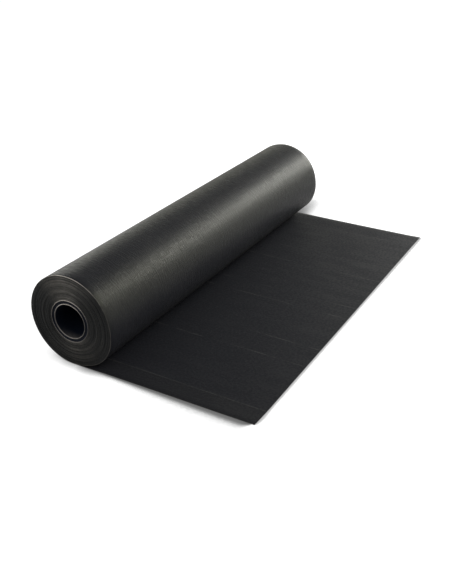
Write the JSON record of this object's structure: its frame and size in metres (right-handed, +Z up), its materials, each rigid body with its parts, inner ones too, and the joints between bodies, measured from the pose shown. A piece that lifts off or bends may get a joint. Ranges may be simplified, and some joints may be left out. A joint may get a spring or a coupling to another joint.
{
  "type": "roll of rubber roofing membrane",
  "caption": "Roll of black rubber roofing membrane wound on a tube, lying on its side with its loose end laid out flat on the floor.",
  "frame": {"origin": "on the floor, at the centre of the footprint of the roll and its loose end", "axes": "+Y along the roll, +X the way it unrolls, +Z up"},
  "size_m": [0.5328, 1, 0.2054],
  "materials": {
    "membrane": "satin",
    "core": "matte"
  },
  "bodies": {
    "root": {"membrane": "membrane", "core_tube": "core"}
  },
  "joints": []
}
